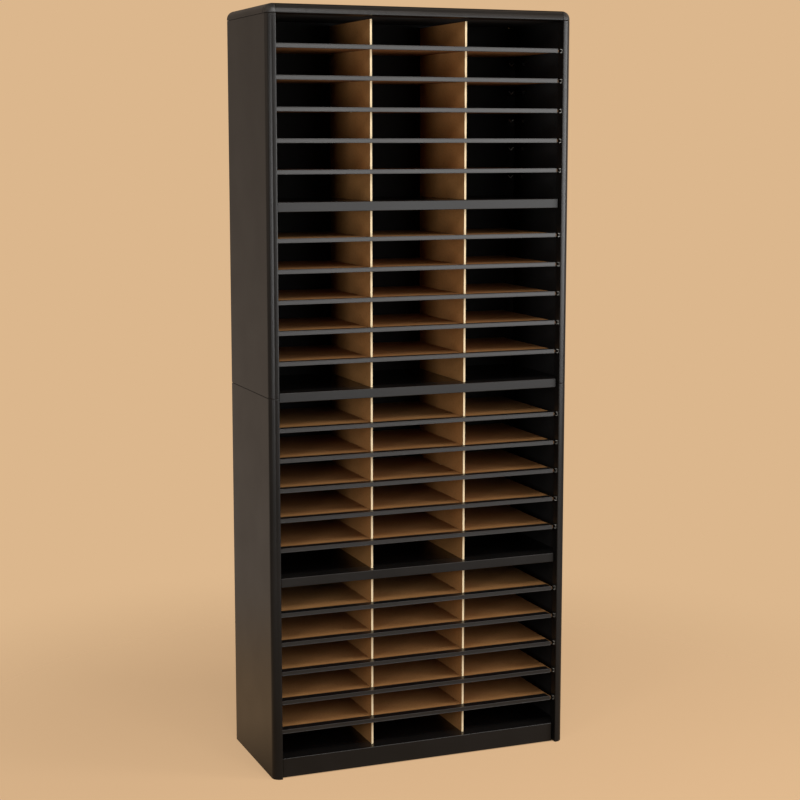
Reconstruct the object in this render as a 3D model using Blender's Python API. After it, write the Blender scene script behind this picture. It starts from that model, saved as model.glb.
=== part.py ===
"""Flat file organizer: a black steel sorter with loose fibreboard shelves and uprights.

Metres, +Z up. The front faces -Y, and the origin is on the floor under the middle of the cabinet.
"""
import math

import bmesh
import bpy
from mathutils import Matrix

# Cabinet
WIDTH = 0.803
DEPTH = 0.334
HEIGHT = 1.905
SHEET = 0.0012
EDGE_RADIUS = 0.020
ARC_STEPS = 8
EDGE_BREAK = 0.001
BREAK_STEPS = 2
POST_WIDTH = 0.0235
POST_BEND = 0.002
POST_RETURN = 0.025
REAR_FLANGE = 0.025
BACK_INSET = 0.006
BACK_FOOT = 0.012

# Rows and sections, from the floor up
SECTIONS = 4
ROWS = 5
BASE_HEIGHT = 0.049
FIRST_ROW = 0.0724
LAST_GAP = 0.0686
STEEL_FRONT = 0.0228

# Top
TOP_DEPTH = 0.030
TOP_EDGE = 0.023
CORNER_LENGTH = 0.030
CORNER_WALL = 0.003

# Steel shelves and base
STEEL_SETBACK = 0.013
STEEL_END_GAP = 0.0045
FRONT_HEM = 0.012
REAR_HEM = 0.015
END_FLANGE = 0.060
WING_LAP = 0.010

# Fibreboard shelves
BOARD = 0.006
BOARD_LEFT_GAP = 0.0008
BOARD_RIGHT_GAP = 0.0092
BOARD_REAR_GAP = 0.001

# Front mouldings
MOULDING_SETBACK = 0.005
MOULDING_HEIGHT = 0.0106
MOULDING_LEFT_STEP = 0.0005
MOULDING_RIGHT_STEP = 0.004
MOULDING_WALL = 0.0025
GROOVE = 0.0009
GROOVE_LIP = 0.0018
LIP_BREAK = 0.0004
TOP_LIP = 0.002
TOP_FLANGE = 0.030
TOP_FLANGE_WALL = 0.0011
LOWER_FLANGE = 0.009
LOWER_FLANGE_WALL = 0.0015

# Uprights
COLUMNS = 3
DIVIDER = 0.005
DIVIDER_GAP = 0.0008
SLOT_CLEARANCE = 0.0005

# Ledges under the shelf ends
LEDGE = 0.0015
LEDGE_REACH = 0.018
FRONT_LEDGE_START = 0.0165
REAR_LEDGE_START = 0.006
REAR_LEDGE_LENGTH = 0.024

# Running and seating gap, and the shadow lines round the cabinet's joints
GAP = 0.0003
SEAM_GAP = 0.0008
CAP_GAP = 0.0008

# Levels and planes worked out from the sizes above
FRONT = -DEPTH / 2
REAR = DEPTH / 2
BACK_FACE = REAR - SHEET
SIDE_REAR = BACK_FACE - GAP
INNER_REAR = SIDE_REAR - SHEET - GAP
POST_PLANE = WIDTH / 2 - POST_WIDTH
SKIN = WIDTH / 2 - SHEET
CEILING = HEIGHT - TOP_DEPTH
SECTION_PITCH = (CEILING + STEEL_FRONT - BASE_HEIGHT) / SECTIONS
SECTION_CLEAR = SECTION_PITCH - STEEL_FRONT
ROW_PITCH = (SECTION_CLEAR - FIRST_ROW - LAST_GAP) / (ROWS - 1)
TOP_SEAM = HEIGHT - TOP_EDGE
MIDDLE = SECTIONS // 2
SEAM = BASE_HEIGHT + MIDDLE * SECTION_PITCH - STEEL_FRONT / 2
STEEL_FACE = FRONT + STEEL_SETBACK
MOULDING_FRONT = FRONT + MOULDING_SETBACK
MOULDING_REAR = MOULDING_FRONT + TOP_FLANGE
BOARD_FRONT = MOULDING_FRONT + MOULDING_WALL + GAP
BOARD_REAR = INNER_REAR - BOARD_REAR_GAP
BOARD_BASE = -MOULDING_HEIGHT / 2 + LOWER_FLANGE_WALL + GAP
BOARD_TOP = BOARD_BASE + BOARD
BOARD_LEFT = -POST_PLANE + BOARD_LEFT_GAP
BOARD_RIGHT = POST_PLANE - BOARD_RIGHT_GAP
DIVIDER_FRONT = MOULDING_REAR + DIVIDER_GAP
DIVIDER_REAR = INNER_REAR - DIVIDER_GAP
INTERLOCK = (DIVIDER_FRONT + DIVIDER_REAR) / 2
DIVIDER_SPACING = 2 * POST_PLANE / COLUMNS
TINY = SHEET / 10
DIVIDER_PLACES = {"left": -DIVIDER_SPACING / 2, "right": DIVIDER_SPACING / 2}


def clear_scene():
    for item in list(bpy.data.objects):
        bpy.data.objects.remove(item)


def linear(hex_colour):
    """Linear colour of an sRGB hex value."""
    shares = [int(hex_colour[i:i + 2], 16) / 255 for i in (1, 3, 5)]
    return [c / 12.92 if c <= 0.04045 else ((c + 0.055) / 1.055) ** 2.4 for c in shares] + [1.0]


def finish(name, hex_colour, roughness, metallic=0.0):
    material = bpy.data.materials.new(name)
    material.use_nodes = True
    shader = material.node_tree.nodes["Principled BSDF"]
    shader.inputs["Base Color"].default_value = linear(hex_colour)
    shader.inputs["Roughness"].default_value = roughness
    shader.inputs["Metallic"].default_value = metallic
    return material


def add_object(name, mesh, material=None, parent=None, location=(0, 0, 0)):
    item = bpy.data.objects.new(name, mesh)
    bpy.context.scene.collection.objects.link(item)
    item.parent = parent
    item.location = location
    if material and not mesh.materials:
        mesh.materials.append(material)
    return item


def prism(name, outline, along, start, end):
    """Mesh of a closed outline drawn in the plane across one axis and extruded along that axis."""
    order = {"X": (2, 0, 1), "Y": (0, 2, 1), "Z": (0, 1, 2)}[along]

    def place(point, level):
        values = (point[0], point[1], level)
        return [values[i] for i in order]

    form = bmesh.new()
    low = [form.verts.new(place(p, start)) for p in outline]
    high = [form.verts.new(place(p, end)) for p in outline]
    form.faces.new(low)
    form.faces.new(high)
    for i in range(len(outline)):
        j = (i + 1) % len(outline)
        form.faces.new((low[i], low[j], high[j], high[i]))
    return closed_mesh(name, form)


def closed_mesh(name, form):
    bmesh.ops.recalc_face_normals(form, faces=form.faces)
    mesh = bpy.data.meshes.new(name)
    form.to_mesh(mesh)
    form.free()
    return mesh


def block(name, low, high):
    corners = [(low[0], low[1]), (high[0], low[1]), (high[0], high[1]), (low[0], high[1])]
    return prism(name, corners, "Z", low[2], high[2])


def arc(centre, radius, start, end, steps=ARC_STEPS):
    """Points of an arc, with its angles in degrees."""
    angles = [math.radians(start + (end - start) * i / steps) for i in range(steps + 1)]
    return [(centre[0] + radius * math.cos(a), centre[1] + radius * math.sin(a)) for a in angles]


def bent_sheet(path, thickness=SHEET):
    """Outline of a bent sheet whose material lies to the left of its path."""
    inner = []
    for i, point in enumerate(path):
        normals = []
        for a, b in ((i - 1, i), (i, i + 1)):
            if a >= 0 and b < len(path):
                dx = path[b][0] - path[a][0]
                dy = path[b][1] - path[a][1]
                length = math.hypot(dx, dy)
                normals.append((-dy / length, dx / length))
        nx = sum(n[0] for n in normals) / len(normals)
        ny = sum(n[1] for n in normals) / len(normals)
        reach = thickness / (nx * nx + ny * ny)
        inner.append((point[0] + nx * reach, point[1] + ny * reach))
    return path + inner[::-1]


def break_edges(mesh, size, wanted):
    """Rounds the sharp edges of a mesh that are wanted, each judged by its two ends."""
    form = bmesh.new()
    form.from_mesh(mesh)
    sharp = [e for e in form.edges if e.calc_face_angle() > math.radians(60)]
    chosen = [e for e in sharp if wanted(e.verts[0].co, e.verts[1].co)]
    bmesh.ops.bevel(form, geom=chosen, offset=size, offset_type="OFFSET", segments=BREAK_STEPS, profile=0.5,
                    affect="EDGES")
    form.to_mesh(mesh)
    form.free()


def mirrored(points):
    return [(-x, y) for x, y in points]


def combine(target, mesh, operation):
    """Unites the target's mesh with another, or cuts or trims it by that one."""
    tool = add_object("tool", mesh)
    modifier = target.modifiers.new("combine", "BOOLEAN")
    modifier.operation = operation
    modifier.object = tool
    bpy.context.view_layer.update()
    graph = bpy.context.evaluated_depsgraph_get()
    result = bpy.data.meshes.new_from_object(target.evaluated_get(graph))
    target.modifiers.clear()
    old = target.data
    result.name = old.name
    target.data = result
    bpy.data.objects.remove(tool)
    bpy.data.meshes.remove(mesh)
    bpy.data.meshes.remove(old)


def merged(name, meshes):
    """One mesh that holds several separate meshes."""
    form = bmesh.new()
    for mesh in meshes:
        form.from_mesh(mesh)
        bpy.data.meshes.remove(mesh)
    return closed_mesh(name, form)


def smooth(item, angle=40):
    item.data.shade_smooth()
    item.data.set_sharp_from_angle(angle=math.radians(angle))


def section_floor(section):
    """Level of the steel under a section's first row."""
    return BASE_HEIGHT + (section - 1) * SECTION_PITCH


def row_level(section, row):
    """Level of the middle of a moulding's front."""
    return section_floor(section) + FIRST_ROW + (row - 1) * ROW_PITCH


def side_path():
    """Plan of the right side's sheet, from the return behind its post round to its rear flange."""
    return [
        (POST_PLANE, FRONT + POST_RETURN),
        *arc((POST_PLANE + POST_BEND, FRONT + POST_BEND), POST_BEND, 180, 270, 3),
        *arc((WIDTH / 2 - EDGE_RADIUS, FRONT + EDGE_RADIUS), EDGE_RADIUS, -90, 0),
        (WIDTH / 2, SIDE_REAR),
        (WIDTH / 2 - REAR_FLANGE, SIDE_REAR),
    ]


def side_ledges(low, high):
    """Ledges under the right ends of the boards between two levels."""
    bite = SHEET / 2
    tip = POST_PLANE - LEDGE_REACH
    spans = [
        (POST_PLANE + bite, FRONT + FRONT_LEDGE_START, FRONT + POST_RETURN - bite),
        (SKIN + bite, INNER_REAR - REAR_LEDGE_START - REAR_LEDGE_LENGTH, INNER_REAR - REAR_LEDGE_START),
    ]
    ledges = []
    for section in range(1, SECTIONS + 1):
        for row in range(1, ROWS + 1):
            seat = row_level(section, row) + BOARD_BASE - GAP
            if low < seat < high:
                for root, start, end in spans:
                    ledges.append(block("ledge", (tip, start, seat - LEDGE), (root, end, seat)))
    return ledges


def side_webs(low, high):
    """Flanges that close both ends of a side's channel: the foot, the seam joint or the top joint."""
    bite = (SHEET - EDGE_BREAK) / 2
    corner = (POST_PLANE + SHEET - bite, FRONT + EDGE_RADIUS)
    far = (SKIN + bite, SIDE_REAR - SHEET + bite)
    return [
        block("web", (*corner, low), (*far, low + SHEET)),
        block("web", (*corner, high - SHEET), (*far, high)),
    ]


def make_side(name, hand, low, high, material):
    """One half of a side: its bent sheet, its end flanges and its shelf ledges."""
    folds = side_path()
    sheet = prism(name, bent_sheet(folds), "Z", low, high)

    def trimmed_end(a, b):
        on_outside = all(min(math.hypot(p.x - x, p.y - y) for x, y in folds) < TINY for p in (a, b))
        return on_outside and abs(a.z - b.z) < TINY

    break_edges(sheet, EDGE_BREAK, trimmed_end)
    side = add_object(name, sheet)
    combine(side, merged("webs", side_webs(low, high)), "UNION")
    combine(side, merged("ledges", side_ledges(low, high)), "UNION")
    if hand == "left":
        side.data.transform(Matrix.Scale(-1, 4, (1, 0, 0)))
        side.data.flip_normals()
    side.data.materials.clear()
    side.data.materials.append(material)
    smooth(side)


def rounded_lid(name, inset):
    """The top's outer form, or its hollow one sheet in, with three rolled edges and two round corners."""
    form = bmesh.new()
    half = WIDTH / 2 - inset
    lid = block(name, (-half, FRONT + inset, TOP_SEAM + inset), (half, REAR - inset, HEIGHT - inset))
    form.from_mesh(lid)
    bpy.data.meshes.remove(lid)
    form.edges.ensure_lookup_table()
    top = HEIGHT - inset
    front = FRONT + inset
    rolled = []
    for edge in form.edges:
        a, b = (v.co for v in edge.verts)
        upright = abs(a.x - b.x) < TINY and abs(a.y - b.y) < TINY and abs(a.y - front) < TINY
        along_front = abs(a.z - top) < TINY and abs(b.z - top) < TINY and abs(a.y - b.y) < TINY
        along_side = abs(a.z - top) < TINY and abs(b.z - top) < TINY and abs(a.x - b.x) < TINY
        if upright or along_side or (along_front and abs(a.y - front) < TINY):
            rolled.append(edge)
    bmesh.ops.bevel(
        form,
        geom=rolled,
        offset=EDGE_RADIUS - inset,
        offset_type="OFFSET",
        segments=ARC_STEPS,
        profile=0.5,
        affect="EDGES",
    )
    return closed_mesh(name, form)


def corner_block(hand, gap):
    """The square at a top front corner that the corner cap takes up, grown by a gap."""
    inner = POST_PLANE - gap
    outer = WIDTH / 2 + POST_WIDTH
    low = (inner, FRONT - POST_WIDTH, TOP_SEAM - TOP_EDGE)
    high = (outer, FRONT + CORNER_LENGTH + gap, HEIGHT + TOP_EDGE)
    if hand == "left":
        low, high = (-outer, low[1], low[2]), (-inner, high[1], high[2])
    return block("corner", low, high)


def lid_with_seam(name):
    """The top's outer form, with its lower edge broken where it meets the sides."""
    lid = rounded_lid(name, 0.0)

    def lower_edge(a, b):
        return max(abs(a.z - TOP_SEAM), abs(b.z - TOP_SEAM)) < TINY and min(a.y, b.y) < REAR - TINY

    break_edges(lid, EDGE_BREAK, lower_edge)
    return lid


def make_top(material):
    """Steel top: a rolled double skin, open at its corner cut-outs, with a hem lapping inside the back."""
    top = add_object("top_panel", lid_with_seam("top_panel"))
    combine(top, rounded_lid("hollow", SHEET), "DIFFERENCE")
    hem_end = POST_PLANE - GAP
    hem_low = (-hem_end, INNER_REAR - SHEET, CEILING + GAP)
    combine(top, block("hem", hem_low, (hem_end, INNER_REAR, TOP_SEAM + SHEET / 2)), "UNION")
    for hand in ("left", "right"):
        combine(top, corner_block(hand, CAP_GAP), "DIFFERENCE")
    top.data.materials.clear()
    top.data.materials.append(material)
    smooth(top)


def make_corner_cap(hand, material):
    """Moulded corner: the lid's round corner, hollowed from below."""
    name = f"corner_cap_{hand}"
    cap = add_object(name, lid_with_seam(name))
    combine(cap, corner_block(hand, 0.0), "INTERSECT")
    inner = POST_PLANE if hand == "right" else -POST_PLANE
    behind = FRONT + CORNER_LENGTH

    def against_lid(a, b):
        at_end = max(abs(a.x - inner), abs(b.x - inner)) < TINY
        at_back = max(abs(a.y - behind), abs(b.y - behind)) < TINY
        return at_end != at_back and max(a.z, b.z) > TOP_SEAM + 2 * EDGE_BREAK

    break_edges(cap.data, EDGE_BREAK, against_lid)
    near = POST_PLANE + CORNER_WALL
    far = WIDTH / 2 - EDGE_RADIUS / 2
    low = (near, FRONT + EDGE_RADIUS / 2, TOP_SEAM - TOP_EDGE)
    high = (far, FRONT + CORNER_LENGTH - CORNER_WALL, HEIGHT - EDGE_RADIUS / 2)
    if hand == "left":
        low, high = (-far, low[1], low[2]), (-near, high[1], high[2])
    combine(cap, block("pocket", low, high), "DIFFERENCE")
    cap.data.materials.clear()
    cap.data.materials.append(material)
    smooth(cap)


def make_pan(name, path, level, material):
    """A bent steel pan between the posts, with wings behind them and an upturned flange at each end."""
    half = POST_PLANE - STEEL_END_GAP
    pan = add_object(name, prism(name, bent_sheet(path), "X", -half, half))

    def front_fold(a, b):
        return max(abs(a.y - STEEL_FACE), abs(b.y - STEEL_FACE)) < TINY and abs(a.z - b.z) < TINY

    break_edges(pan.data, EDGE_BREAK, front_fold)
    wing_start = FRONT + POST_RETURN + GAP
    edge = SKIN - GAP
    wing = bent_sheet([
        (half - WING_LAP, level - SHEET),
        (edge, level - SHEET),
        (edge, level + END_FLANGE),
    ])
    for outline in (wing, mirrored(wing)):
        combine(pan, prism("wing", outline, "Y", wing_start, INNER_REAR), "UNION")
    pan.data.materials.clear()
    pan.data.materials.append(material)


def make_base(material):
    """Bottom pan: the kick plate with its hem on the floor, the lowest row's floor, and the rear leg."""
    path = [
        (INNER_REAR, 0.0),
        (INNER_REAR, BASE_HEIGHT),
        (STEEL_FACE, BASE_HEIGHT),
        (STEEL_FACE, 0.0),
        (STEEL_FACE + FRONT_HEM, 0.0),
    ]
    make_pan("base", path, BASE_HEIGHT, material)


def make_steel_shelf(number, material):
    """Fixed steel shelf: a front face with a hem below it, the shelf itself, and a rear stiffening hem."""
    level = section_floor(number + 1)
    path = [
        (INNER_REAR, level - REAR_HEM),
        (INNER_REAR, level),
        (STEEL_FACE, level),
        (STEEL_FACE, level - STEEL_FRONT),
        (STEEL_FACE + FRONT_HEM, level - STEEL_FRONT),
    ]
    make_pan(f"steel_shelf_{number}", path, level, material)


def make_back(material):
    edge = WIDTH / 2 - BACK_INSET
    low = (-edge, BACK_FACE, BACK_FOOT)
    high = (edge, REAR, TOP_SEAM - GAP)
    add_object("back", block("back", low, high), material)


def board_mesh():
    """Fibreboard shelf in plan about its moulding's level, slotted from the rear for each upright."""
    half_slot = DIVIDER / 2 + SLOT_CLEARANCE
    slot_end = INTERLOCK - SLOT_CLEARANCE
    outline = [(BOARD_LEFT, BOARD_REAR), (BOARD_LEFT, BOARD_FRONT), (BOARD_RIGHT, BOARD_FRONT),
               (BOARD_RIGHT, BOARD_REAR)]
    for place in sorted(DIVIDER_PLACES.values(), reverse=True):
        outline += [
            (place + half_slot, BOARD_REAR),
            (place + half_slot, slot_end),
            (place - half_slot, slot_end),
            (place - half_slot, BOARD_REAR),
        ]
    return prism("board", outline, "Z", BOARD_BASE, BOARD_TOP)


def moulding_mesh():
    """Front moulding: a label groove between two lips, a wide flange over the board, a short one under."""
    low = -MOULDING_HEIGHT / 2
    high = MOULDING_HEIGHT / 2
    face = MOULDING_FRONT
    groove = face + GROOVE
    wall = face + MOULDING_WALL
    seat_top = BOARD_TOP + GAP
    seat_low = BOARD_BASE - GAP
    flange_top = seat_top + TOP_FLANGE_WALL
    outline = [
        (face, low),
        (face + LOWER_FLANGE, low),
        (face + LOWER_FLANGE, seat_low),
        (wall, seat_low),
        (wall, seat_top),
        (MOULDING_REAR, seat_top),
        (MOULDING_REAR, flange_top),
        (face + TOP_LIP, flange_top),
        (face + TOP_LIP, high),
        (face, high),
        (face, high - GROOVE_LIP),
        (groove, high - GROOVE_LIP),
        (groove, low + GROOVE_LIP),
        (face, low + GROOVE_LIP),
    ]
    start = BOARD_LEFT + MOULDING_LEFT_STEP
    end = BOARD_RIGHT - MOULDING_RIGHT_STEP
    moulding = prism("moulding", outline, "X", start, end)

    def lip(a, b):
        return max(abs(a.y - face), abs(b.y - face)) < TINY and abs(a.z - b.z) < TINY

    break_edges(moulding, LIP_BREAK, lip)
    return moulding


def divider_mesh():
    """Upright, seen from the side, about its section's floor, with a slot from the front for each board."""
    low = GAP
    high = SECTION_CLEAR - GAP
    slot_end = INTERLOCK + SLOT_CLEARANCE
    outline = [(DIVIDER_FRONT, low), (DIVIDER_REAR, low), (DIVIDER_REAR, high), (DIVIDER_FRONT, high)]
    for row in range(ROWS, 0, -1):
        middle = FIRST_ROW + (row - 1) * ROW_PITCH
        slot_top = middle + BOARD_TOP + SLOT_CLEARANCE
        slot_base = middle + BOARD_BASE - SLOT_CLEARANCE
        outline += [
            (DIVIDER_FRONT, slot_top),
            (slot_end, slot_top),
            (slot_end, slot_base),
            (DIVIDER_FRONT, slot_base),
        ]
    return prism("divider", outline, "X", -DIVIDER / 2, DIVIDER / 2)


def make_shelves(board_finish, moulding_finish):
    """Every loose shelf: an empty on its slide, carrying the board and the moulding clipped on it."""
    board = board_mesh()
    moulding = moulding_mesh()
    for section in range(1, SECTIONS + 1):
        for row in range(1, ROWS + 1):
            slide = add_object(f"shelf_{section}_{row}", None)
            slide.location = (0, 0, row_level(section, row))
            add_object(f"board_{section}_{row}", board, board_finish, slide)
            add_object(f"moulding_{section}_{row}", moulding, moulding_finish, slide)


def make_dividers(material):
    divider = divider_mesh()
    for section in range(1, SECTIONS + 1):
        for hand, place in DIVIDER_PLACES.items():
            location = (place, 0, section_floor(section))
            add_object(f"divider_{section}_{hand}", divider, material, location=location)


clear_scene()
black_steel = finish("black powder coat", "#2b2a29", 0.42)
black_plastic = finish("black plastic", "#262626", 0.35)
fibreboard = finish("tan fibreboard", "#b58a5c", 0.85)
for side_hand in ("left", "right"):
    make_side(f"lower_side_{side_hand}", side_hand, 0.0, SEAM - SEAM_GAP / 2, black_steel)
    make_side(f"upper_side_{side_hand}", side_hand, SEAM + SEAM_GAP / 2, TOP_SEAM - SEAM_GAP, black_steel)
    make_corner_cap(side_hand, black_plastic)
make_top(black_steel)
make_base(black_steel)
for shelf_number in range(1, SECTIONS):
    make_steel_shelf(shelf_number, black_steel)
make_back(black_steel)
make_shelves(fibreboard, black_plastic)
make_dividers(fibreboard)
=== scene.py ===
import math

import bmesh
import bpy
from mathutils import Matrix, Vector


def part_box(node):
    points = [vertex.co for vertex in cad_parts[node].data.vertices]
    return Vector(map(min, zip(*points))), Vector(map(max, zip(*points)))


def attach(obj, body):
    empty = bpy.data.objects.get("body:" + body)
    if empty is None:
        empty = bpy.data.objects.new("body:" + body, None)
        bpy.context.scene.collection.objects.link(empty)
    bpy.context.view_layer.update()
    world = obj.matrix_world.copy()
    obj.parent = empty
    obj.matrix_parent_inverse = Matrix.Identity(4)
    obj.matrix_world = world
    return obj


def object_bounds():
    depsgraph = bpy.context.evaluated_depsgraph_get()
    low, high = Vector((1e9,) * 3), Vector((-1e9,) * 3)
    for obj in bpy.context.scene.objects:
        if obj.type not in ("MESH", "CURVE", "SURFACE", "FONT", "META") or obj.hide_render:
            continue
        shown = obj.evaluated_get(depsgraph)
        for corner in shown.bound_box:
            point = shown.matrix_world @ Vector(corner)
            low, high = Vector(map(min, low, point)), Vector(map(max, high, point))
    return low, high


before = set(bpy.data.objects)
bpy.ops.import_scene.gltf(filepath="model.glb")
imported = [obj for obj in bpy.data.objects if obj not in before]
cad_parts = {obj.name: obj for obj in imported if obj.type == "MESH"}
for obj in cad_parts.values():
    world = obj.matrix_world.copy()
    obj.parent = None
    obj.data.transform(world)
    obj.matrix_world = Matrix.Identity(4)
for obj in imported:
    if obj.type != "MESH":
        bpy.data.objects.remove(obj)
cad_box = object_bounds()


# Sides
# Each side is two bent steel sheets, one on the other, with a rolled post down the front edge.
# They are folded, spot welded and powder coated before the cabinet is bolted together.
def linear(hex_colour):
    """Linear colour of an sRGB hex value."""
    shares = [int(hex_colour[i:i + 2], 16) / 255 for i in (1, 3, 5)]
    return [c / 12.92 if c <= 0.04045 else ((c + 0.055) / 1.055) ** 2.4 for c in shares] + [1.0]


def add_node(tree, kind, inputs, **settings):
    """Adds one node with its settings, and fills its sockets with values or with links."""
    node = tree.nodes.new("ShaderNode" + kind)
    for name, value in settings.items():
        setattr(node, name, value)
    for socket, value in inputs.items():
        if isinstance(value, bpy.types.NodeSocket):
            tree.links.new(value, node.inputs[socket])
        else:
            node.inputs[socket].default_value = value
    return node


# Baked satin powder coat: nearly black, with a soft sheen, a faint orange peel and cloudy gloss.
# The peel is about 1.5 mm on the real sheet, and is drawn at 5 mm so that it shows.
# Inside the cabinet the coat is dull, except on the tops of the shelves, which are glossier still.
# Inside, its colour is also painted darker, as painted shade.
PEEL = 0.005
GLOSS_CLOUD = 0.12
LID_ROLL = 0.020
SKIN = 0.001
INSIDE_FROM = 0.04
INSIDE_FULL = 0.08
UPWARD = (0.7, 0.9)
DULLED_ON_WALLS = 0.45
DULLED_ON_SHELVES = -0.10

powder_coat = bpy.data.materials.new("satin_black_powder_coat")
powder_coat.use_nodes = True
tree = powder_coat.node_tree
tree.nodes.clear()
place = add_node(tree, "TexCoord", {})
peel = add_node(tree, "TexNoise", {"Vector": place.outputs["Object"], "Scale": 1 / PEEL, "Detail": 2.0})
cloud = add_node(
    tree, "TexNoise",
    {"Vector": place.outputs["Object"], "Scale": 1 / GLOSS_CLOUD, "Detail": 4.0},
)

# The inside is all that lies more than a skin in from the rounded outline, and behind the posts.
roll_axis = (cad_box[1][0] - LID_ROLL, 0.0, cad_box[1][2] - LID_ROLL)
upright_plane = add_node(
    tree, "VectorMath",
    {0: place.outputs["Object"], 1: (1.0, 0.0, 1.0)},
    operation="MULTIPLY",
)
either_hand = add_node(tree, "VectorMath", {0: upright_plane.outputs["Vector"]}, operation="ABSOLUTE")
from_axis = add_node(
    tree, "VectorMath",
    {0: either_hand.outputs["Vector"], 1: roll_axis},
    operation="SUBTRACT",
)
outward = add_node(
    tree, "VectorMath",
    {0: from_axis.outputs["Vector"], 1: (0.0, 0.0, 0.0)},
    operation="MAXIMUM",
)
roll_radius = add_node(tree, "VectorMath", {0: outward.outputs["Vector"]}, operation="LENGTH")
enclosed = add_node(
    tree, "Math",
    {0: roll_radius.outputs["Value"], 1: LID_ROLL - SKIN},
    operation="LESS_THAN",
)
spot = add_node(tree, "SeparateXYZ", {"Vector": place.outputs["Object"]})
before_rear = add_node(
    tree, "Math",
    {0: spot.outputs["Y"], 1: cad_box[1][1] - SKIN},
    operation="LESS_THAN",
)
walled = add_node(
    tree, "Math",
    {0: enclosed.outputs[0], 1: before_rear.outputs[0]},
    operation="MULTIPLY",
)
depth = add_node(
    tree, "MapRange",
    {"Value": spot.outputs["Y"],
     "From Min": cad_box[0][1] + INSIDE_FROM, "From Max": cad_box[0][1] + INSIDE_FULL},
)
inside_shade_and_dull = add_node(
    tree, "Math",
    {0: walled.outputs[0], 1: depth.outputs["Result"]},
    operation="MULTIPLY",
)

coat = add_node(
    tree, "Mix",
    {0: cloud.outputs["Fac"], 6: linear("#11100f"), 7: linear("#181615")},
    data_type="RGBA",
)
# Painted shade: inside the cabinet the coat colour is mixed towards a darker black.
tone = add_node(
    tree, "Mix",
    {0: inside_shade_and_dull.outputs[0], 6: coat.outputs[2], 7: linear("#0c0b0b")},
    data_type="RGBA",
)
satin = add_node(tree, "MapRange", {"Value": cloud.outputs["Fac"], "To Min": 0.27, "To Max": 0.38})
surface = add_node(tree, "NewGeometry", {})
turned_to = add_node(tree, "SeparateXYZ", {"Vector": surface.outputs["Normal"]})
dulling = add_node(
    tree, "MapRange",
    {"Value": turned_to.outputs["Z"], "From Min": UPWARD[0], "From Max": UPWARD[1],
     "To Min": DULLED_ON_WALLS, "To Max": DULLED_ON_SHELVES},
)
gloss = add_node(
    tree, "Math",
    {0: inside_shade_and_dull.outputs[0], 1: dulling.outputs["Result"], 2: satin.outputs["Result"]},
    operation="MULTIPLY_ADD",
)
relief = add_node(tree, "Bump", {"Height": peel.outputs["Fac"], "Strength": 0.12, "Distance": 0.0004})
coat_shader = add_node(
    tree, "BsdfPrincipled",
    {"Base Color": tone.outputs[2], "Roughness": gloss.outputs[0], "IOR": 1.5,
     "Specular IOR Level": 0.38, "Normal": relief.outputs["Normal"]},
)
add_node(tree, "OutputMaterial", {"Surface": coat_shader.outputs["BSDF"]})

for half in ("lower", "upper"):
    for hand in ("left", "right"):
        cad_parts[f"{half}_side_{hand}"].data.materials[0] = powder_coat


# Base and steel shelves
# Folded pans of the same coated sheet: a kick plate under the lowest row, and three fixed shelves.
# They hook behind the posts and tie the two sides together.
for name in ("base", "steel_shelf_1", "steel_shelf_2", "steel_shelf_3"):
    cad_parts[name].data.materials[0] = powder_coat


# Back
# One flat sheet screwed over the rear flanges of both sides.
# It has a thinner, dead matt coat, which leaves the inside of the compartments almost black.
# The outer face is sprayed with the rest of the cabinet, so it is about as glossy as the sides.
MOTTLE = 0.018
OUTER_SKIN = 0.0003
OUTER_GAIN = -0.32

matt_coat = bpy.data.materials.new("matt_black_coat")
matt_coat.use_nodes = True
tree = matt_coat.node_tree
tree.nodes.clear()
place = add_node(tree, "TexCoord", {})
mottle = add_node(
    tree, "TexNoise",
    {"Vector": place.outputs["Object"], "Scale": 1 / MOTTLE, "Detail": 5.0},
)
tone = add_node(
    tree, "Mix",
    {0: mottle.outputs["Fac"], 6: linear("#0e0e0d"), 7: linear("#151413")},
    data_type="RGBA",
)
dull = add_node(tree, "MapRange", {"Value": mottle.outputs["Fac"], "To Min": 0.62, "To Max": 0.80})
spot = add_node(tree, "SeparateXYZ", {"Vector": place.outputs["Object"]})
outer = add_node(
    tree, "Math",
    {0: spot.outputs["Y"], 1: cad_box[1][1] - OUTER_SKIN},
    operation="GREATER_THAN",
)
gloss = add_node(
    tree, "Math",
    {0: outer.outputs[0], 1: OUTER_GAIN, 2: dull.outputs["Result"]},
    operation="MULTIPLY_ADD",
)
relief = add_node(tree, "Bump", {"Height": mottle.outputs["Fac"], "Strength": 0.1, "Distance": 0.0004})
matt_shader = add_node(
    tree, "BsdfPrincipled",
    {"Base Color": tone.outputs[2], "Roughness": gloss.outputs[0], "IOR": 1.5,
     "Specular IOR Level": 0.3, "Normal": relief.outputs["Normal"]},
)
add_node(tree, "OutputMaterial", {"Surface": matt_shader.outputs["BSDF"]})
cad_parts["back"].data.materials[0] = matt_coat


# Top and its corners
# The lid is sheet steel rolled along its front and sides, and coated like the sides.
# A moulded cap is push fitted to close each front corner.
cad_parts["top_panel"].data.materials[0] = powder_coat

# Moulded ABS with a fine spark-eroded grain, which gives a softer and more even sheen than the coat.
# The grain is drawn at 2 mm, several times its real size, so that it shows.
GRAIN = 0.002

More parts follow.
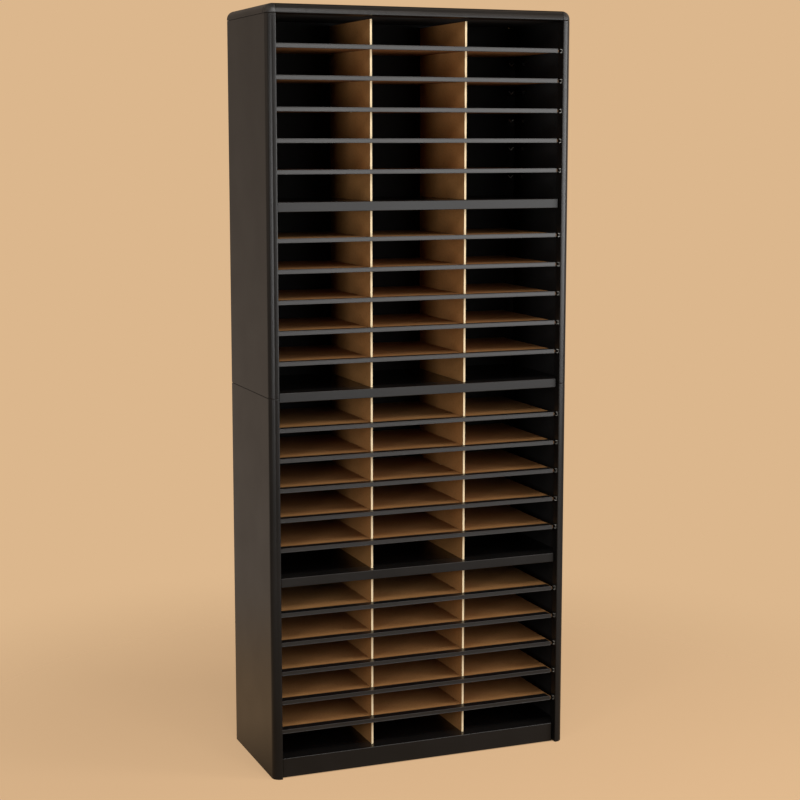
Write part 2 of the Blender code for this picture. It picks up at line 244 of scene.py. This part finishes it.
moulded_abs = bpy.data.materials.new("moulded_black_abs")
moulded_abs.use_nodes = True
tree = moulded_abs.node_tree
tree.nodes.clear()
place = add_node(tree, "TexCoord", {})
grain = add_node(tree, "TexNoise", {"Vector": place.outputs["Object"], "Scale": 1 / GRAIN, "Detail": 3.0})
tone = add_node(
    tree, "Mix",
    {0: grain.outputs["Fac"], 6: linear("#1c1b1b"), 7: linear("#232222")},
    data_type="RGBA",
)
gloss = add_node(tree, "MapRange", {"Value": grain.outputs["Fac"], "To Min": 0.34, "To Max": 0.46})
relief = add_node(tree, "Bump", {"Height": grain.outputs["Fac"], "Strength": 0.15, "Distance": 0.0002})
abs_shader = add_node(
    tree, "BsdfPrincipled",
    {"Base Color": tone.outputs[2], "Roughness": gloss.outputs["Result"], "IOR": 1.53,
     "Normal": relief.outputs["Normal"]},
)
add_node(tree, "OutputMaterial", {"Surface": abs_shader.outputs["BSDF"]})

for hand in ("left", "right"):
    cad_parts[f"corner_cap_{hand}"].data.materials[0] = moulded_abs


# Shelf clips
# Folded strips of zinc plated steel: one closes the gap beside the right front corner of each shelf,
# and two vees stand on the side and on its rear flange under each rear corner.
SECTIONS = range(1, 5)
ROWS = range(1, 6)
SIDE_SHEET = 0.0012
CLIP_SHEET = 0.0012
CLIP_FOLD = CLIP_SHEET * 0.2
CLIP_CLEARANCE = 0.0041
CLIP_REACH = 0.0050
CLIP_LIFT = 0.0018
CLIP_LENGTH = 0.009
VEE_ARM = CLIP_SHEET * 1.5
VEE_WIDTH = 0.015
VEE_HEIGHT = 0.008
VEE_DEPTH = 0.005
VEE_SLANT = 0.21
VEE_DROP = 0.015
VEE_FROM_SIDE = 0.012
VEE_FROM_FLANGE = 0.060


def add_strip(form, outline, along, start, end, slant=0.0):
    """Adds a folded strip to a mesh: an outline drawn out along one axis, and slanted where it starts."""
    order = {"X": (2, 0, 1), "Y": (0, 2, 1)}[along]
    rings = []
    for stop, shear in ((start, slant), (end, 0.0)):
        points = [(a, b, stop - shear * (a - outline[1][0])) for a, b in outline]
        rings.append([form.verts.new([p[i] for i in order]) for p in points])
    form.faces.new(rings[0])
    form.faces.new(rings[1])
    for i in range(len(outline)):
        j = (i + 1) % len(outline)
        form.faces.new((rings[0][i], rings[0][j], rings[1][j], rings[1][i]))


def vee(centre, top):
    """Outline of a vee, from its centre line and the height of its upper ends."""
    spread = VEE_WIDTH / 2
    return [
        (centre - spread, top),
        (centre, top - VEE_HEIGHT),
        (centre + spread, top),
        (centre + spread - VEE_ARM, top),
        (centre, top - VEE_HEIGHT + VEE_ARM),
        (centre - spread + VEE_ARM, top),
    ]


clips = bmesh.new()
side_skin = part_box("upper_side_right")[1][0] - SIDE_SHEET
flange_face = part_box("upper_side_right")[1][1] - SIDE_SHEET
for section in SECTIONS:
    for row in ROWS:
        low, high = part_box(f"board_{section}_{row}")
        tip = high[0] + CLIP_CLEARANCE
        heel = tip + CLIP_REACH
        foot = low[2] - CLIP_LIFT
        crown = high[2] + CLIP_LIFT
        channel = [
            (tip, crown), (heel, crown), (heel, foot), (tip, foot),
            (tip, foot + CLIP_SHEET), (heel - CLIP_SHEET, foot + CLIP_SHEET),
            (heel - CLIP_SHEET, crown - CLIP_SHEET), (tip, crown - CLIP_SHEET),
        ]
        add_strip(clips, channel, "Y", low[1] - CLIP_SHEET, low[1] - CLIP_SHEET + CLIP_LENGTH)
        vee_top = low[2] - VEE_DROP
        for hand in (-1, 1):
            on_flange = vee(hand * (side_skin - VEE_FROM_SIDE), vee_top)
            add_strip(clips, on_flange, "Y", flange_face - VEE_DEPTH, flange_face, hand * VEE_SLANT)
            on_side = vee(flange_face - VEE_FROM_FLANGE, vee_top)
            add_strip(clips, on_side, "X", hand * (side_skin - VEE_DEPTH), hand * side_skin)
bmesh.ops.recalc_face_normals(clips, faces=clips.faces)
clip_mesh = bpy.data.meshes.new("shelf_clips")
clips.to_mesh(clip_mesh)
clips.free()
shelf_clips = bpy.data.objects.new("shelf_clips", clip_mesh)
bpy.context.scene.collection.objects.link(shelf_clips)
folds = shelf_clips.modifiers.new("folds", "BEVEL")
folds.width = CLIP_FOLD
folds.segments = 2
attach(shelf_clips, "cabinet")

# Bright zinc plate with a fine spangle; the crystals are drawn at 3 mm, on strips only 9 mm long.
SPANGLE = 0.003

zinc = bpy.data.materials.new("bright_zinc_plate")
zinc.use_nodes = True
tree = zinc.node_tree
tree.nodes.clear()
place = add_node(tree, "TexCoord", {})
spangle = add_node(tree, "TexVoronoi", {"Vector": place.outputs["Object"], "Scale": 1 / SPANGLE})
tone = add_node(
    tree, "Mix",
    {0: spangle.outputs["Distance"], 6: linear("#c4c4c0"), 7: linear("#9a9b98")},
    data_type="RGBA",
)
gloss = add_node(
    tree, "MapRange",
    {"Value": spangle.outputs["Distance"], "To Min": 0.32, "To Max": 0.46},
)
zinc_shader = add_node(
    tree, "BsdfPrincipled",
    {"Base Color": tone.outputs[2], "Metallic": 1.0, "Roughness": gloss.outputs["Result"]},
)
add_node(tree, "OutputMaterial", {"Surface": zinc_shader.outputs["BSDF"]})
clip_mesh.materials.append(zinc)


# Uprights
# Two fibreboard panels stand in each section, between the steel below and the steel above.
# They are sawn, and slotted from the front, so that the loose shelves cross them.
BOARD_CLOUD = 0.07
FLECK = 0.005
LAYER = 0.001
STREAK = 0.02


def fibreboard(name, face_axis, streaks, tones, edges):
    """Kraft-faced fibreboard: tan faces across one axis, and sawn edges of another tone on the other two.

    The faces show pressed fibre in flecks and soft clouds, and the edges show its layers.
    Flecks are 1 to 2 mm on real board, and are drawn at 5 mm so that they show.
    """
    material = bpy.data.materials.new(name)
    material.use_nodes = True
    tree = material.node_tree
    tree.nodes.clear()
    place = add_node(tree, "TexCoord", {})
    cloud = add_node(
        tree, "TexNoise",
        {"Vector": place.outputs["Object"], "Scale": 1 / BOARD_CLOUD, "Detail": 5.0},
    )
    fleck = add_node(
        tree, "TexNoise",
        {"Vector": place.outputs["Object"], "Scale": 1 / FLECK, "Detail": 6.0, "Roughness": 0.7},
    )
    face = add_node(
        tree, "Mix",
        {0: cloud.outputs["Fac"], 6: linear(tones[0]), 7: linear(tones[1])},
        data_type="RGBA",
    )
    dark = add_node(
        tree, "MapRange",
        {"Value": fleck.outputs["Fac"], "From Min": 0.52, "From Max": 0.72, "To Max": 0.55},
    )
    flecked = add_node(
        tree, "Mix",
        {0: dark.outputs["Result"], 6: face.outputs[2], 7: linear(tones[2])},
        data_type="RGBA",
    )
    stretch = add_node(tree, "Mapping", {"Vector": place.outputs["Object"], "Scale": streaks})
    layers = add_node(
        tree, "TexNoise",
        {"Vector": stretch.outputs["Vector"], "Scale": 1.0, "Detail": 4.0},
    )
    edge = add_node(
        tree, "Mix",
        {0: layers.outputs["Fac"], 6: linear(edges[0]), 7: linear(edges[1])},
        data_type="RGBA",
    )
    surface = add_node(tree, "NewGeometry", {})
    turned_to = add_node(tree, "SeparateXYZ", {"Vector": surface.outputs["Normal"]})
    squareness = add_node(tree, "Math", {0: turned_to.outputs[face_axis]}, operation="ABSOLUTE")
    is_face = add_node(tree, "Math", {0: squareness.outputs[0], 1: 0.5}, operation="GREATER_THAN")
    colour = add_node(
        tree, "Mix",
        {0: is_face.outputs[0], 6: edge.outputs[2], 7: flecked.outputs[2]},
        data_type="RGBA",
    )
    matt = add_node(tree, "MapRange", {"Value": fleck.outputs["Fac"], "To Min": 0.72, "To Max": 0.92})
    relief = add_node(
        tree, "Bump",
        {"Height": fleck.outputs["Fac"], "Strength": 0.2, "Distance": 0.0004},
    )
    shader = add_node(
        tree, "BsdfPrincipled",
        {"Base Color": colour.outputs[2], "Roughness": matt.outputs["Result"], "IOR": 1.5,
         "Specular IOR Level": 0.3, "Normal": relief.outputs["Normal"]},
    )
    add_node(tree, "OutputMaterial", {"Surface": shader.outputs["BSDF"]})
    return material


upright_board = fibreboard(
    "kraft_fibreboard_upright", "X", (1 / LAYER, 1 / STREAK, 1 / STREAK),
    tones=("#a87641", "#ba8650", "#785129"), edges=("#ebce9f", "#f6e1bb"),
)
for section in SECTIONS:
    for hand in ("left", "right"):
        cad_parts[f"divider_{section}_{hand}"].data.materials[0] = upright_board


# Loose shelves
# The same fibreboard lying flat, five shelves to a section. Its faces are painted a little darker than the
# uprights', and its sawn edges far darker, as painted shade.
# Each is slotted from behind over the uprights, so that it draws out to the front.
# Painted shade: darker face tones and dark edge tones than the uprights' board.
shaded_shelf_board = fibreboard(
    "kraft_fibreboard_shelf_shaded", "Z", (1 / STREAK, 1 / STREAK, 1 / LAYER),
    tones=("#976738", "#a97b48", "#6d4925"), edges=("#46311e", "#574028"),
)
for section in SECTIONS:
    for row in ROWS:
        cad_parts[f"board_{section}_{row}"].data.materials[0] = shaded_shelf_board


# Shelf mouldings
# Black PVC pushed over the front edge of each shelf, with a groove along its face for a label strip.
# Extrusion leaves fine lines along the length and an even satin face.
# The lines are a few tenths of a millimetre apart, and are drawn at 1.5 mm so that they show.
DIE_LINE = 0.0015
DIE_LINE_LENGTH = 0.3

extruded_pvc = bpy.data.materials.new("extruded_black_pvc")
extruded_pvc.use_nodes = True
tree = extruded_pvc.node_tree
tree.nodes.clear()
place = add_node(tree, "TexCoord", {})
stretch = add_node(
    tree, "Mapping",
    {"Vector": place.outputs["Object"], "Scale": (1 / DIE_LINE_LENGTH, 1 / DIE_LINE, 1 / DIE_LINE)},
)
lines = add_node(tree, "TexNoise", {"Vector": stretch.outputs["Vector"], "Scale": 1.0, "Detail": 3.0})
tone = add_node(
    tree, "Mix",
    {0: lines.outputs["Fac"], 6: linear("#090808"), 7: linear("#0f0e0e")},
    data_type="RGBA",
)
gloss = add_node(tree, "MapRange", {"Value": lines.outputs["Fac"], "To Min": 0.32, "To Max": 0.44})
relief = add_node(tree, "Bump", {"Height": lines.outputs["Fac"], "Strength": 0.1, "Distance": 0.0002})
pvc_shader = add_node(
    tree, "BsdfPrincipled",
    {"Base Color": tone.outputs[2], "Roughness": gloss.outputs["Result"], "IOR": 1.53,
     "Specular IOR Level": 0.65, "Normal": relief.outputs["Normal"]},
)
add_node(tree, "OutputMaterial", {"Surface": pvc_shader.outputs["BSDF"]})

for section in SECTIONS:
    for row in ROWS:
        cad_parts[f"moulding_{section}_{row}"].data.materials[0] = extruded_pvc


# Floor
# A round sheet of plain warm paper that fades out into a background of the same colour.
# The camera sees it paler than it lights the cabinet, as it has a light of its own.
# That glow is cut out under the cabinet and fades in just inside its edges, as a painted shadow;
# in reflections it is painted dim in front of the cabinet and bright behind it, as painted reflection.
FLOOR = "#9c8060"
FLOOR_GLOW = "#bb9a76"
FLOOR_RADIUS = 2.0
FLOOR_FADE = 1.3
FLOOR_IN_GLOSS = (0.12, 0.85)
FRONT_TO_REAR = (-0.2, 0.3)
SHADOW_UNDER_CABINET = (-0.018, -0.006)
RIM_POINTS = 96

turns = [math.tau * i / RIM_POINTS for i in range(RIM_POINTS)]
rim = [(FLOOR_RADIUS * math.cos(turn), FLOOR_RADIUS * math.sin(turn), 0.0) for turn in turns]
floor_mesh = bpy.data.meshes.new("floor")
floor_mesh.from_pydata(rim, [], [list(range(RIM_POINTS))])
floor = bpy.data.objects.new("floor", floor_mesh)
bpy.context.scene.collection.objects.link(floor)

paper = bpy.data.materials.new("matt_sweep_paper")
paper.use_nodes = True
tree = paper.node_tree
tree.nodes.clear()
place = add_node(tree, "TexCoord", {})
distance = add_node(tree, "VectorMath", {0: place.outputs["Object"]}, operation="LENGTH")
solid = add_node(
    tree, "MapRange",
    {"Value": distance.outputs["Value"],
     "From Min": FLOOR_RADIUS - FLOOR_FADE, "From Max": FLOOR_RADIUS, "To Min": 1.0, "To Max": 0.0},
    interpolation_type="SMOOTHSTEP",
)
ray = add_node(tree, "LightPath", {})
spot = add_node(tree, "SeparateXYZ", {"Vector": place.outputs["Object"]})
# Painted reflection: glossy rays see the floor glow, dim in front of the cabinet and bright behind it.
reflected_glow_by_depth = add_node(
    tree, "MapRange",
    {"Value": spot.outputs["Y"], "From Min": FRONT_TO_REAR[0], "From Max": FRONT_TO_REAR[1],
     "To Min": FLOOR_IN_GLOSS[0], "To Max": FLOOR_IN_GLOSS[1]},
)
painted_reflection_glow = add_node(
    tree, "Math",
    {0: ray.outputs["Is Glossy Ray"], 1: reflected_glow_by_depth.outputs["Result"]},
    operation="MULTIPLY",
)
shown = add_node(
    tree, "Math",
    {0: ray.outputs["Is Camera Ray"], 1: painted_reflection_glow.outputs[0]},
    operation="MAXIMUM",
)
# Painted shadow: the glow is taken away under the cabinet, with a soft edge just inside its outline.
plan_centre = [(cad_box[0][i] + cad_box[1][i]) / 2 for i in range(2)]
plan_half = [(cad_box[1][i] - cad_box[0][i]) / 2 for i in range(2)]
from_centre = add_node(
    tree, "VectorMath",
    {0: place.outputs["Object"], 1: (*plan_centre, 0.0)},
    operation="SUBTRACT",
)
any_side = add_node(tree, "VectorMath", {0: from_centre.outputs["Vector"]}, operation="ABSOLUTE")
past_edge = add_node(
    tree, "VectorMath",
    {0: any_side.outputs["Vector"], 1: (*plan_half, 0.0)},
    operation="SUBTRACT",
)
past = add_node(tree, "SeparateXYZ", {"Vector": past_edge.outputs["Vector"]})
farther = add_node(tree, "Math", {0: past.outputs["X"], 1: past.outputs["Y"]}, operation="MAXIMUM")
outside_painted_shadow = add_node(
    tree, "MapRange",
    {"Value": farther.outputs[0], "From Min": SHADOW_UNDER_CABINET[0], "From Max": SHADOW_UNDER_CABINET[1]},
)
glowing = add_node(
    tree, "Math",
    {0: shown.outputs[0], 1: outside_painted_shadow.outputs["Result"]},
    operation="MULTIPLY",
)
paper_shader = add_node(
    tree, "BsdfPrincipled",
    {"Base Color": linear(FLOOR), "Roughness": 0.9, "Specular IOR Level": 0.1,
     "Alpha": solid.outputs["Result"],
     "Emission Color": linear(FLOOR_GLOW), "Emission Strength": glowing.outputs[0]},
)
add_node(tree, "OutputMaterial", {"Surface": paper_shader.outputs["BSDF"]})
floor_mesh.materials.append(paper)


# Backdrop
# A plain warm wall all round, which the camera sees as one colour, and which gives a little even light.
# Glossy coats mirror a studio in its place: a lit wall behind and to the left, walls at both sides that
# are brighter above the skyline, a lit floor far in front, and a bright bank in front that fades overhead.
SWEEP = "#dcb78d"
EVEN_LIGHT = 0.05
REAR_GLOW = (0.03, 0.36)
REAR_GLOW_BY_HEIGHT = (1.3, 0.85)
REAR_GLOW_AT_RIGHT = 0.1
SIDE_GLOW = (0.13, 0.85)
FAR_FLOOR_GLOW = 0.5
BANK_GLOW = 1.1
BANK_OVERHEAD = 0.15

world = bpy.data.worlds.new("studio")
bpy.context.scene.world = world
world.use_nodes = True
tree = world.node_tree
tree.nodes.clear()
ray = add_node(tree, "LightPath", {})
ambient = add_node(tree, "Background", {"Color": linear("#f2e4d2"), "Strength": EVEN_LIGHT})
heading = add_node(tree, "TexCoord", {})
skyline = add_node(
    tree, "VectorMath",
    {0: heading.outputs["Generated"], 1: (1.0, 1.0, 0.0)},
    operation="MULTIPLY",
)
compass = add_node(tree, "VectorMath", {0: skyline.outputs["Vector"]}, operation="NORMALIZE")
bearing = add_node(tree, "SeparateXYZ", {"Vector": compass.outputs["Vector"]})
slope = add_node(tree, "SeparateXYZ", {"Vector": heading.outputs["Generated"]})

behind = add_node(
    tree, "MapRange",
    {"Value": bearing.outputs["Y"], "From Min": 0.7, "From Max": 0.92,
     "To Min": REAR_GLOW[0], "To Max": REAR_GLOW[1]},
)
lower = add_node(
    tree, "MapRange",
    {"Value": slope.outputs["Z"], "From Min": -0.22, "From Max": 0.08,
     "To Min": REAR_GLOW_BY_HEIGHT[0], "To Max": REAR_GLOW_BY_HEIGHT[1]},
)
leftward = add_node(
    tree, "MapRange",
    {"Value": bearing.outputs["X"], "From Min": 0.15, "From Max": 0.35,
     "To Min": 1.0, "To Max": REAR_GLOW_AT_RIGHT},
)
rising = add_node(
    tree, "Math",
    {0: behind.outputs["Result"], 1: lower.outputs["Result"]},
    operation="MULTIPLY",
)
rear = add_node(
    tree, "Math",
    {0: rising.outputs[0], 1: leftward.outputs["Result"]},
    operation="MULTIPLY",
)

beside = add_node(
    tree, "MapRange",
    {"Value": bearing.outputs["Y"], "From Min": -0.25, "From Max": 0.05},
)
fading = add_node(
    tree, "MapRange",
    {"Value": bearing.outputs["Y"], "From Min": 0.55, "From Max": 0.8, "To Min": 1.0, "To Max": 0.0},
)
upper = add_node(
    tree, "MapRange",
    {"Value": slope.outputs["Z"], "From Min": -0.14, "From Max": 0.04,
     "To Min": SIDE_GLOW[0], "To Max": SIDE_GLOW[1]},
)
flank = add_node(
    tree, "Math",
    {0: beside.outputs["Result"], 1: fading.outputs["Result"]},
    operation="MULTIPLY",
)
around = add_node(
    tree, "Math",
    {0: flank.outputs[0], 1: upper.outputs["Result"], 2: rear.outputs[0]},
    operation="MULTIPLY_ADD",
)

apron = add_node(
    tree, "MapRange",
    {"Value": slope.outputs["Z"], "From Min": -0.24, "From Max": -0.17,
     "To Min": FAR_FLOOR_GLOW, "To Max": 0.0},
)
above = add_node(
    tree, "MapRange",
    {"Value": slope.outputs["Z"], "From Min": 0.12, "From Max": 0.35,
     "To Min": 0.0, "To Max": BANK_GLOW},
)
overhead = add_node(
    tree, "MapRange",
    {"Value": slope.outputs["Z"], "From Min": 0.55, "From Max": 0.9,
     "To Min": 1.0, "To Max": BANK_OVERHEAD},
)
opposite = add_node(
    tree, "Math",
    {0: above.outputs["Result"], 1: overhead.outputs["Result"], 2: apron.outputs["Result"]},
    operation="MULTIPLY_ADD",
)
in_front = add_node(tree, "Math", {0: bearing.outputs["Y"], 1: 0.0}, operation="LESS_THAN")
glow = add_node(
    tree, "Math",
    {0: opposite.outputs[0], 1: in_front.outputs[0], 2: around.outputs[0]},
    operation="MULTIPLY_ADD",
)

mirrored = add_node(tree, "Background", {"Color": linear("#f8e0ca"), "Strength": glow.outputs[0]})
seen = add_node(tree, "Background", {"Color": linear(SWEEP), "Strength": 1.0})
shiny = add_node(
    tree, "Math",
    {0: ray.outputs["Is Glossy Ray"], 1: ray.outputs["Is Transmission Ray"]},
    operation="MAXIMUM",
)
lit = add_node(
    tree, "MixShader",
    {0: shiny.outputs[0], 1: ambient.outputs[0], 2: mirrored.outputs[0]},
)
sky = add_node(
    tree, "MixShader",
    {0: ray.outputs["Is Camera Ray"], 1: lit.outputs[0], 2: seen.outputs[0]},
)
add_node(tree, "OutputWorld", {"Surface": sky.outputs[0]})


# Studio lights
# A key above the front lights the shelves just behind their edges, and a narrow fill stands at the left.
# A broad softbox on the right gives the fronts their sheen, and a rim light stands farther right.
def softbox(name, stand, target, width, height, watts):
    """Adds a rectangular light that stands in one place and is aimed at another."""
    lamp = bpy.data.lights.new(name, "AREA")
    lamp.shape = "RECTANGLE"
    lamp.size = width
    lamp.size_y = height
    lamp.energy = watts
    item = bpy.data.objects.new(name, lamp)
    bpy.context.scene.collection.objects.link(item)
    item.location = stand
    item.rotation_euler = (Vector(target) - Vector(stand)).to_track_quat("-Z", "Y").to_euler()


softbox("key", stand=(-0.3, -2.3, 2.9), target=(0.0, 0.0, 0.9), width=1.8, height=0.8, watts=37.0)
softbox("fill", stand=(-2.5, -2.15, 1.25), target=(0.0, 0.0, 1.0), width=0.8, height=1.2, watts=26.0)
softbox("sheen", stand=(1.7, -3.3, 1.4), target=(0.0, 0.0, 1.3), width=3.0, height=1.9, watts=54.0)
softbox("rim", stand=(3.1, -2.2, 1.55), target=(0.0, 0.0, 1.3), width=1.0, height=1.6, watts=60.0)


# Camera
# It stands to the left of the cabinet at about eye height, and looks slightly down.
# The lens is shifted a little, which sets the height of the cabinet in the frame.
FRAME_PIXELS = 800
FOCAL_PIXELS = 1758.7
LENS_SHIFT = -0.0174
LOOK_DOWN = 8.0
LOOK_RIGHT = 21.58

camera = bpy.data.cameras.new("camera")
camera.sensor_width = 36.0
camera.lens = FOCAL_PIXELS / FRAME_PIXELS * camera.sensor_width
camera.shift_y = LENS_SHIFT
eye = bpy.data.objects.new("camera", camera)
bpy.context.scene.collection.objects.link(eye)
eye.location = (-1.6581, -4.1968, 1.5869)
eye.rotation_euler = (math.radians(90 - LOOK_DOWN), 0.0, math.radians(-LOOK_RIGHT))
bpy.context.scene.camera = eye
bpy.context.scene.view_settings.view_transform = "Standard"
